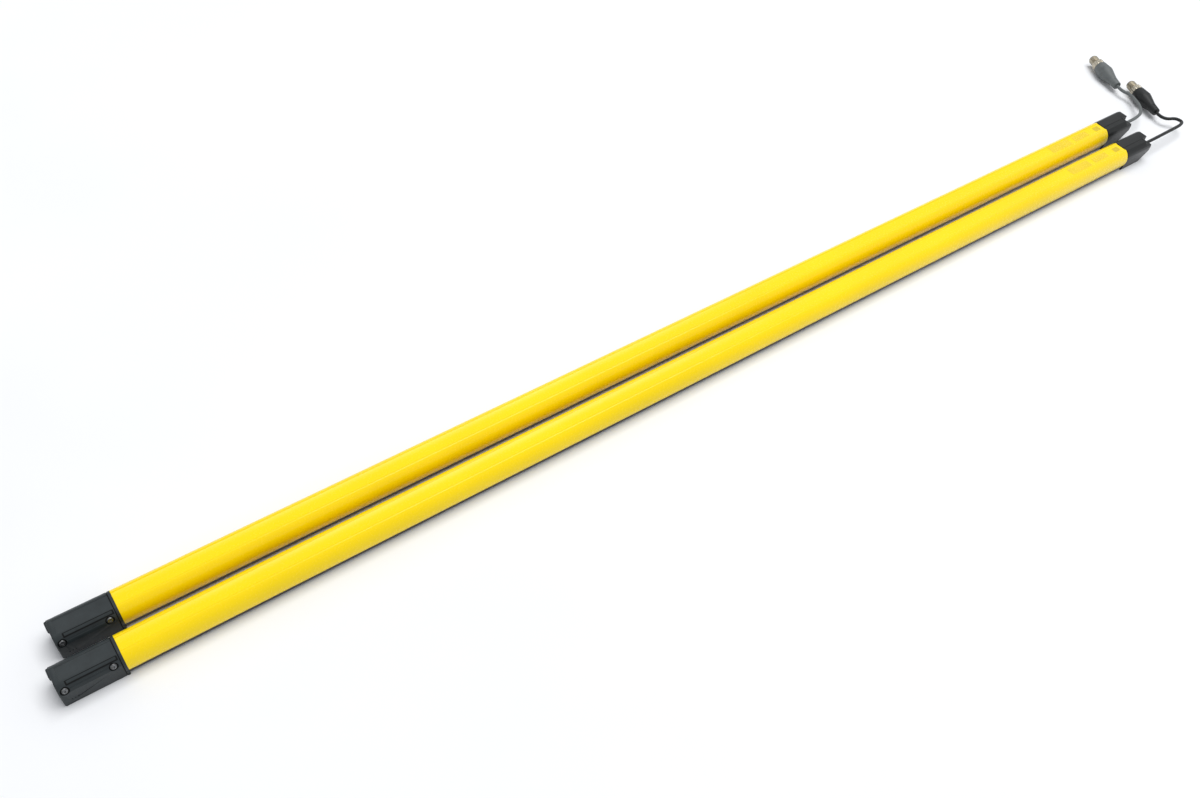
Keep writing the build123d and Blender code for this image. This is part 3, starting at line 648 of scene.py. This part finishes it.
def thread_tree():
    """Tree that winds a V-shaped ridge round the X axis as a screw thread, from a flat grid."""
    inputs = [
        ("Start", "NodeSocketFloat"),
        ("Length", "NodeSocketFloat"),
        ("Crest radius", "NodeSocketFloat"),
        ("Depth", "NodeSocketFloat"),
        ("Pitch", "NodeSocketFloat"),
        ("Steps", "NodeSocketInt"),
        ("Finish", "NodeSocketMaterial"),
    ]
    tree, given, result = node_tree("Screw_thread", inputs)

    def math_node(operation, first, second=0.0, third=0.0):
        node = add(tree, "ShaderNodeMath", {0: first, 1: second, 2: third}, operation=operation)
        return node.outputs["Value"]

    turns = math_node("DIVIDE", given["Length"], given["Pitch"])
    full_angle = math_node("MULTIPLY", turns, 2 * math.pi)
    # Across the grid, y runs from -2 to 2: 0 is the crest, 1 the flank's foot and 2 the closed underside
    grid = add(
        tree,
        "GeometryNodeMeshGrid",
        {"Size X": full_angle, "Size Y": 4.0, "Vertices X": given["Steps"], "Vertices Y": 5},
    )
    position = add(tree, "GeometryNodeInputPosition").outputs["Position"]
    spot = add(tree, "ShaderNodeSeparateXYZ", {"Vector": position})
    angle = math_node("ADD", spot.outputs["X"], math_node("MULTIPLY", full_angle, 0.5))
    across = spot.outputs["Y"]
    apart = math_node("ABSOLUTE", across)
    ends = math_node("MINIMUM", angle, math_node("SUBTRACT", full_angle, angle))
    fade = math_node("MINIMUM", math_node("DIVIDE", ends, THREAD_FADE), 1.0)
    sunk = math_node("MULTIPLY", math_node("SUBTRACT", 1.0, fade), given["Depth"])
    slope = math_node("MULTIPLY", apart, given["Depth"])
    radius = math_node("SUBTRACT", math_node("SUBTRACT", given["Crest radius"], slope), sunk)
    flank = math_node("MULTIPLY", math_node("PINGPONG", apart, 1.0), math_node("SIGN", across))
    offset = math_node("MULTIPLY", flank, math_node("MULTIPLY", given["Pitch"], THREAD_FLANK))
    wound = math_node("MULTIPLY", math_node("DIVIDE", angle, 2 * math.pi), given["Pitch"])
    along = math_node("ADD", math_node("ADD", given["Start"], wound), offset)
    place = add(
        tree,
        "ShaderNodeCombineXYZ",
        {
            "X": along,
            "Y": math_node("MULTIPLY", radius, math_node("COSINE", angle)),
            "Z": math_node("MULTIPLY", radius, math_node("SINE", angle)),
        },
    )
    moved = add(
        tree,
        "GeometryNodeSetPosition",
        {"Geometry": grid.outputs["Mesh"], "Position": place.outputs["Vector"]},
    )
    closed = add(
        tree,
        "GeometryNodeMergeByDistance",
        {"Geometry": moved.outputs["Geometry"], "Distance": THREAD_MERGE},
    )
    finished = add(
        tree,
        "GeometryNodeSetMaterial",
        {"Geometry": closed.outputs["Geometry"], "Material": given["Finish"]},
    )
    tree.links.new(finished.outputs["Geometry"], result)
    return tree


def joined(name, pieces):
    """One object made of several, which are removed."""
    work = bmesh.new()
    for piece in pieces:
        work.from_mesh(piece.data)
        bpy.data.objects.remove(piece)
    return from_bmesh(name, work)


def plug_matrix(bar):
    """Place of a plug: its X axis carries on from the cable's last run."""
    before, last = (Vector(point) for point in CABLE_ROUTES[bar][-2:])
    heading = (last - before).normalized()
    side = Vector((0, 0, 1)).cross(heading)
    turned = Matrix((heading, side, heading.cross(side))).transposed()
    return Matrix.Translation(last) @ turned.to_4x4()


def plate(name, low, high, corner):
    """Thin plate between two corners of its box, with rounded corners in plan."""
    work = bmesh.new()
    rings = ([], [])
    for turn in range(4):
        sign_x, sign_y = ((1, 1), (-1, 1), (-1, -1), (1, -1))[turn]
        centre_x = (high[0] if sign_x > 0 else low[0]) - sign_x * corner
        centre_y = (high[1] if sign_y > 0 else low[1]) - sign_y * corner
        for step in range(CORNER_STEPS + 1):
            angle = math.radians(90 * (turn + step / CORNER_STEPS))
            for ring, height in zip(rings, (low[2], high[2])):
                spot = (centre_x + corner * math.cos(angle), centre_y + corner * math.sin(angle), height)
                ring.append(work.verts.new(spot))
    work.faces.new(rings[1])
    work.faces.new(reversed(rings[0]))
    for step in range(len(rings[0])):
        beyond = (step + 1) % len(rings[0])
        work.faces.new((rings[0][step], rings[0][beyond], rings[1][beyond], rings[1][step]))
    return from_bmesh(name, work)


class CURTAIN_OT_housings(bpy.types.Operator):
    """Yellow profiles with rounded edges, and the bare foil labels in their backs."""

    bl_idname = "curtain.housings"
    bl_label = "Housings"

    def execute(self, context):
        sizes = context.scene.curtain_sizes
        for bar in BARS:
            rounded(bar + "_housing", sizes.profile_edge, Finishes.get("housing"), segments=3)
            low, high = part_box(bar + "_housing")
            middle = (low.y + high.y) / 2
            panel = high.z - PANEL_DEPTH
            for name, start, stop, half, finish in LABELS:
                lowest = (high.x - start, middle - half, panel - LABEL_SINK)
                highest = (high.x - stop, middle + half, panel + LABEL_THICK)
                label = plate(bar + "_bare_label_" + name, lowest, highest, LABEL_CORNER)
                coat(label, Finishes.get(finish))
                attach(label, "housings")
        return {"FINISHED"}


def screen_piece(node, radius, material):
    """Front screen whose two long lower edges are rounded wide, in place of the solid's sharper ones."""
    work = cleaned(node)
    low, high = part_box(node)
    middle = (low.y + high.y) / 2
    half = (high.y - low.y) / 2
    # Points of the solid's small corner radius slide out on to the wide one, ring by ring
    for vert in work.verts:
        side = math.copysign(1.0, vert.co.y - middle)
        from_side = half - abs(vert.co.y - middle)
        if vert.co.z < SCREEN_CORNER and from_side < SCREEN_CORNER:
            turn = math.atan2(SCREEN_CORNER - vert.co.z, SCREEN_CORNER - from_side)
            vert.co.y = middle + side * (half - radius + radius * math.cos(turn))
            vert.co.z = radius - radius * math.sin(turn)
    piece = as_object(node + "_rounded", work)
    shade(piece)
    return hand_over(piece, node, material)


class CURTAIN_OT_screens(bpy.types.Operator):
    """Smoked front screens and their gaskets."""

    bl_idname = "curtain.screens"
    bl_label = "Front screens"

    def execute(self, context):
        radius = context.scene.curtain_sizes.screen_edge
        for bar in BARS:
            screen_piece(bar + "_front_screen", radius, Finishes.get("screen"))
            coat(FRAME["nodes"][bar + "_screen_gaskets"], Finishes.get("rubber"))
        return {"FINISHED"}


class CURTAIN_OT_optics(bpy.types.Operator):
    """Optics rails, lens strips and boards inside the housings."""

    bl_idname = "curtain.optics"
    bl_label = "Optics"

    def execute(self, context):
        finishes = {
            "optics_rail": "cable_cap",
            "lens_strip": "clear",
            "beam_board": "board",
            "beam_elements": "epoxy",
            "interface_board": "board",
        }
        for bar in BARS:
            for piece, finish in finishes.items():
                coat(FRAME["nodes"][bar + "_" + piece], Finishes.get(finish))
        return {"FINISHED"}


def cap_place(bar):
    """Near end, middle line and axis height of a bar's plain cap."""
    low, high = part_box(bar + "_housing")
    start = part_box(bar + "_plain_cap_seal")[0].x - PLAIN_CAP_LENGTH
    return start, (low.y + high.y) / 2, low.z + BODY_DROP


def strip_shade_lip(name, start, middle, axis, top):
    """Dark rubber lip round a strip cover, painted shade that stands for the shadow in the cover's gap; it
    is bent to the round body and kept below a height.
    """
    half = STRIP_SHADE_LIP_WIDTH / 2
    outline = []
    for grow in (-half, half):
        low_turn, high_turn = (math.radians(value) for value in STRIP_ANGLES)
        spread = grow / BODY_RADIUS
        low_turn, high_turn = low_turn - spread, high_turn + spread
        near, far = start + STRIP_ENDS[0] - grow, start + STRIP_ENDS[1] + grow
        sweep = high_turn - low_turn
        turns = [low_turn + sweep * step / STRIP_STEPS for step in range(STRIP_STEPS + 1)]
        outline.append([(near, turn) for turn in turns] + [(far, turn) for turn in reversed(turns)])
    work = bmesh.new()
    loops = []
    for reach in (BODY_RADIUS - STRIP_SHADE_LIP_DEPTH, BODY_RADIUS + STRIP_SHADE_LIP_PROUD):
        for corners in outline:
            loop = []
            for along, turn in corners:
                height = min(axis + reach * math.cos(turn), top)
                loop.append(work.verts.new((along, middle - reach * math.sin(turn), height)))
            loops.append(loop)
    inner_low, outer_low, inner_high, outer_high = loops
    count = len(inner_low)
    for one, other in (
        (inner_high, outer_high),
        (outer_high, outer_low),
        (outer_low, inner_low),
        (inner_low, inner_high),
    ):
        for step in range(count):
            beyond = (step + 1) % count
            work.faces.new((one[step], one[beyond], other[beyond], other[step]))
    return from_bmesh(name, work)


class CURTAIN_OT_plain_caps(bpy.types.Operator):
    """Long slate caps of the plain ends, with their seals, flanges and strip covers, and a dark lip of
    painted shade round each strip cover.
    """

    bl_idname = "curtain.plain_caps"
    bl_label = "Plain end caps"

    def execute(self, context):
        sizes = context.scene.curtain_sizes
        slate = Finishes.get("plain_cap")
        for bar in BARS:
            rounded(bar + "_plain_cap", sizes.small_edge, slate)
            rounded(bar + "_plain_cap_core", sizes.small_edge, slate)
            rounded(bar + "_strip_cover", sizes.small_edge, slate)
            start, middle, axis = cap_place(bar)
            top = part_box(bar + "_plain_cap")[1].z - STRIP_SHADE_LIP_PROUD
            # The dark lip is painted shade for the shadow in the gap round the strip cover
            seal = strip_shade_lip(bar + "_strip_seal", start, middle, axis, top)
            coat(seal, Finishes.get("rubber"))
            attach(seal, "housings")
            coat(FRAME["nodes"][bar + "_plain_cap_seal"], Finishes.get("rubber"))
        return {"FINISHED"}


def standing(shape):
    """A turned shape stood up, with its axis along Z."""
    shape.data.transform(Matrix.Rotation(math.radians(-90), 4, "Y"))
    shade(shape, TURNED_SHARP)
    return shape


def screw_shape(across):
    """Cap screw with a domed head and a hexagon socket; its seat is at the origin and Z points out."""
    head_radius, head_height = SCREW_HEAD
    shank_radius, shank_length = SCREW_SHANK
    socket = across / 2
    point_radius, point_length = SCREW_POINT
    outline = [
        (-shank_length, point_radius),
        (-shank_length + point_length, shank_radius),
        (0.0, shank_radius),
    ]
    outline += [(high * head_height, wide * head_radius) for high, wide in HEAD_OUTLINE]
    outline += [(high * head_height, wide * socket) for high, wide in SOCKET_OUTLINE]
    outline.append((SOCKET_FLOOR * head_height, SOCKET_CENTRE))

    def hexagon(index, angle):
        if index not in SOCKET_WALLS:
            return 0.0
        beside = (angle % (math.pi / 3)) - math.pi / 6
        return socket - socket * math.cos(math.pi / 6) / math.cos(beside)

    return standing(lathe("Screw_shape", outline, SCREW_STEPS, hexagon))


def shade_ring_shape():
    """Dark rubber ring that fills the recess round a cap screw, painted shade for the shadow of the recess's
    wall; it lies on the seat and Z points out.
    """
    inner, outer, height = SCREW_SHADE_RING
    high, wide = SHADE_RING_ROUNDING
    outline = [
        (0.0, inner),
        (0.0, outer),
        (high * height, outer),
        (height, wide * outer),
        (height, inner),
    ]
    return standing(lathe("Ring_shape", outline, SCREW_STEPS))


class CURTAIN_OT_screws(bpy.types.Operator):
    """Four blackened socket screws in the shoulders of each plain end's cap, each in a dark rubber ring that
    is painted shade for the shadow in its recess.
    """

    bl_idname = "curtain.screws"
    bl_label = "Cap screws"

    def execute(self, context):
        for bar in BARS:
            end, middle, axis = cap_place(bar)
            places = []
            directions = []
            for side in (-1, 1):
                out = Vector((0, side * math.sin(SCREW_ANGLE), math.cos(SCREW_ANGLE)))
                for along in SCREW_PLACES:
                    places.append(Vector((end + along, middle, axis)) + (BODY_RADIUS - SCREW_SEAT) * out)
                    directions.append(out)
            node = bar + "_plain_cap_screws"
            shape = screw_shape(context.scene.curtain_sizes.socket_across)
            piece = set_copies(node + "_turned", shape, places, directions, Finishes.get("steel"))
            hand_over(piece, node, Finishes.get("steel"))
            # Dark rubber rings round the screws are painted shade for the shadow in each recess
            rubber = Finishes.get("rubber")
            rings = set_copies(bar + "_screw_rings", shade_ring_shape(), places, directions, rubber)
            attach(rings, "housings")
        return {"FINISHED"}


class CURTAIN_OT_cable_caps(bpy.types.Operator):
    """Black stepped caps of the cable ends, with their seals, grommets and status windows."""

    bl_idname = "curtain.cable_caps"
    bl_label = "Cable end caps"

    def execute(self, context):
        sizes = context.scene.curtain_sizes
        for bar in BARS:
            rounded(bar + "_cable_cap", sizes.cap_edge, Finishes.get("cable_cap"))
            rounded(bar + "_cable_grommet", sizes.small_edge, Finishes.get("rubber"))
            rounded(bar + "_status_window", sizes.small_edge, Finishes.get("clear"))
            coat(FRAME["nodes"][bar + "_cable_cap_seal"], Finishes.get("rubber"))
        return {"FINISHED"}


def nut_body(name, sizes):
    """Turned body of a coupling nut: fluted collar, thread root and smooth bore."""
    root = THREAD_RADIUS - sizes.thread_depth
    step_length, step_height = ROOT_STEP
    slope_length, slope_height = TIP_SLOPE
    outline = [(NUT_START, NUT_BORE)]
    outline += [(NUT_START + inset, COLLAR_RADIUS - drop) for inset, drop in COLLAR_ROUNDING]
    outline += [(COLLAR_END - inset, COLLAR_RADIUS - drop) for inset, drop in reversed(COLLAR_ROUNDING)]
    outline += [
        (COLLAR_END, root + step_height),
        (COLLAR_END + step_length, root),
        (THREAD_END - slope_length, root),
        (THREAD_END, root - slope_height),
        (THREAD_END, NUT_BORE),
    ]

    def flute(index, angle):
        if index not in FLUTED_PLACES:
            return 0.0
        return FLUTE_DEPTH * max(0.0, math.cos(angle * sizes.flutes)) ** FLUTE_POWER

    return lathe(name, outline, NUT_STEPS, flute)


class CURTAIN_OT_nuts(bpy.types.Operator):
    """Coupling nuts of the plugs, with fluted collars and a wound M12 thread."""

    bl_idname = "curtain.nuts"
    bl_label = "Plug nuts"

    def execute(self, context):
        sizes = context.scene.curtain_sizes
        tree = thread_tree()
        for bar in BARS:
            node = bar + "_plug_nut"
            values = {
                "Start": COLLAR_END + THREAD_GAPS[0],
                "Length": THREAD_END - COLLAR_END - sum(THREAD_GAPS),
                "Crest radius": THREAD_RADIUS,
                "Depth": sizes.thread_depth,
                "Pitch": sizes.thread_pitch,
                "Steps": THREAD_STEPS,
                "Finish": Finishes.get("nickel"),
            }
            empty = new_mesh_object("Thread_grid", bpy.data.meshes.new("Thread_grid"))
            thread = run_tree(empty, tree, values)
            piece = joined(node + "_threaded", [nut_body("Nut_body", sizes), thread])
            piece.data.transform(plug_matrix(bar))
            shade(piece, THREADED_SHARP)
            hand_over(piece, node, Finishes.get("nickel"))
        return {"FINISHED"}


class CURTAIN_OT_plugs(bpy.types.Operator):
    """Moulded grips, contact inserts and gold pins of the plugs."""

    bl_idname = "curtain.plugs"
    bl_label = "Plugs"

    def execute(self, context):
        for bar in BARS:
            rounded(bar + "_plug_grip", GRIP_EDGE, Finishes.get(bar))
            rounded(bar + "_plug_insert", CONTACT_EDGE, Finishes.get("cable_cap"))
            rounded(bar + "_plug_pins", CONTACT_EDGE, Finishes.get("gold"))
        return {"FINISHED"}


class CURTAIN_OT_cables(bpy.types.Operator):
    """Short cables from the caps to the plugs, each a smooth round cord."""

    bl_idname = "curtain.cables"
    bl_label = "Cables"

    def execute(self, context):
        for bar in BARS:
            node = bar + "_cable"
            curve = bpy.data.curves.new(node + "_cord", "CURVE")
            curve.dimensions = "3D"
            curve.bevel_depth = CABLE_DIAMETER / 2
            curve.bevel_resolution = CABLE_ROUND_STEPS
            curve.use_fill_caps = True
            route = CABLE_ROUTES[bar]
            spline = curve.splines.new("NURBS")
            spline.points.add(len(route) - 1)
            for point, place in zip(spline.points, route):
                point.co = (*place, 1.0)
            spline.order_u = 3
            spline.use_endpoint_u = True
            spline.resolution_u = CABLE_LONG_STEPS
            cord = new_mesh_object(node + "_cord", curve)
            hand_over(cord, node, Finishes.get(bar))
        return {"FINISHED"}


def set_camera(scene):
    """Camera at the photograph's place."""
    azimuth, elevation, roll = (math.radians(value) for value in CAMERA_TURN)
    level_share = math.cos(elevation)
    ahead = Vector(
        (level_share * math.cos(azimuth), level_share * math.sin(azimuth), math.sin(elevation))
    )
    level = ahead.cross(Vector((0, 0, 1))).normalized()
    raised = level.cross(ahead)
    right = math.cos(roll) * level + math.sin(roll) * raised
    up = math.cos(roll) * raised - math.sin(roll) * level
    data = bpy.data.cameras.new("Camera")
    data.sensor_width = SENSOR_WIDTH
    data.sensor_fit = "HORIZONTAL"
    data.lens = FOCAL_PIXELS / PHOTO_WIDTH * SENSOR_WIDTH
    data.clip_start = NEAREST_SEEN
    camera = bpy.data.objects.new("Camera", data)
    scene.collection.objects.link(camera)
    turned = Matrix((right, up, -ahead)).transposed()
    camera.matrix_world = Matrix.Translation(CAMERA_PLACE) @ turned.to_4x4()
    scene.camera = camera


def table_sheet():
    """White sheet on the table: nearly even, with faint grey blotches of painted shade that stand for its
    folds.
    """
    material, tree, shader, place = new_finish("White_table_sheet")
    # Faint grey blotches are painted shade of the sheet's folds; the sheet itself is flat
    cloud = remap(tree, noise(tree, place, 260.0, 3.0), 0.97, 1.0)
    tree.links.new(tinted(tree, linear("#F4F5F7"), cloud), shader.inputs["Base Color"])
    shader.inputs["Roughness"].default_value = 0.9
    return material


def area_lamp(scene, name, place, aim, size, power):
    """Rectangular lamp at a place, turned towards an aim."""
    data = bpy.data.lights.new(name, "AREA")
    data.shape = "RECTANGLE"
    data.size, data.size_y = size
    data.energy = power
    lamp = bpy.data.objects.new(name, data)
    lamp.location = place
    lamp.rotation_euler = (Vector(aim) - Vector(place)).to_track_quat("-Z", "Y").to_euler()
    scene.collection.objects.link(lamp)


class CURTAIN_OT_stage(bpy.types.Operator):
    """Pale table sheet, soft studio light and the camera."""

    bl_idname = "curtain.stage"
    bl_label = "Stage"

    def execute(self, context):
        scene = context.scene
        work = bmesh.new()
        bmesh.ops.create_grid(
            work, x_segments=TABLE_SEGMENTS, y_segments=TABLE_SEGMENTS, size=TABLE_REACH
        )
        table = from_bmesh("Table", work)
        coat(table, table_sheet())
        world = bpy.data.worlds.new("Studio")
        world.use_nodes = True
        tree = world.node_tree
        # Rays that see the room itself find it white; the light that it gives is softer
        path = add(tree, "ShaderNodeLightPath").outputs
        seen = path["Is Camera Ray"]
        for ray in ("Is Glossy Ray", "Is Transmission Ray"):
            either = add(tree, "ShaderNodeMath", {0: seen, 1: path[ray]}, operation="MAXIMUM")
            seen = either.outputs["Value"]
        level = add(tree, "ShaderNodeMapRange", {"Value": seen, "To Min": ROOM_LIGHT, "To Max": ROOM_SEEN})
        background = tree.nodes["Background"]
        background.inputs["Color"].default_value = linear("#F7F9FC")
        tree.links.new(level.outputs["Result"], background.inputs["Strength"])
        scene.world = world
        area_lamp(scene, "Ceiling_panel", LAMP_PLACE, LAMP_AIM, LAMP_SIZE, LAMP_POWER)
        set_camera(scene)
        scene.view_settings.view_transform = "Standard"
        return {"FINISHED"}


class CURTAIN_PT_parts(bpy.types.Panel):
    """Lists the steps that dress the light curtain."""

    bl_label = "Light Curtain"
    bl_idname = "CURTAIN_PT_parts"
    bl_space_type = "VIEW_3D"
    bl_region_type = "UI"
    bl_category = "Curtain"

    def draw(self, context):
        layout = self.layout
        for group in (context.scene.curtain_colours, context.scene.curtain_sizes):
            for name in group.bl_rna.properties.keys():
                if name not in ("name", "rna_type"):
                    layout.prop(group, name)
        for operator in OPERATORS:
            layout.operator(operator.bl_idname)


OPERATORS = (
    CURTAIN_OT_housings,
    CURTAIN_OT_screens,
    CURTAIN_OT_optics,
    CURTAIN_OT_plain_caps,
    CURTAIN_OT_screws,
    CURTAIN_OT_cable_caps,
    CURTAIN_OT_nuts,
    CURTAIN_OT_plugs,
    CURTAIN_OT_cables,
    CURTAIN_OT_stage,
)
CLASSES = (CurtainColours, CurtainSizes, *OPERATORS, CURTAIN_PT_parts)


def register():
    """Makes the classes and their scene settings known to Blender."""
    for kind in CLASSES:
        bpy.utils.register_class(kind)
    bpy.types.Scene.curtain_colours = bpy.props.PointerProperty(type=CurtainColours)
    bpy.types.Scene.curtain_sizes = bpy.props.PointerProperty(type=CurtainSizes)


def unregister():
    """Takes back what register did."""
    del bpy.types.Scene.curtain_sizes
    del bpy.types.Scene.curtain_colours
    for kind in reversed(CLASSES):
        bpy.utils.unregister_class(kind)


def main():
    """Dresses the part with every operator in turn."""
    register()
    for operator in OPERATORS:
        group, name = operator.bl_idname.split(".")
        getattr(getattr(bpy.ops, group), name)()


if __name__ == "__main__":
    main()
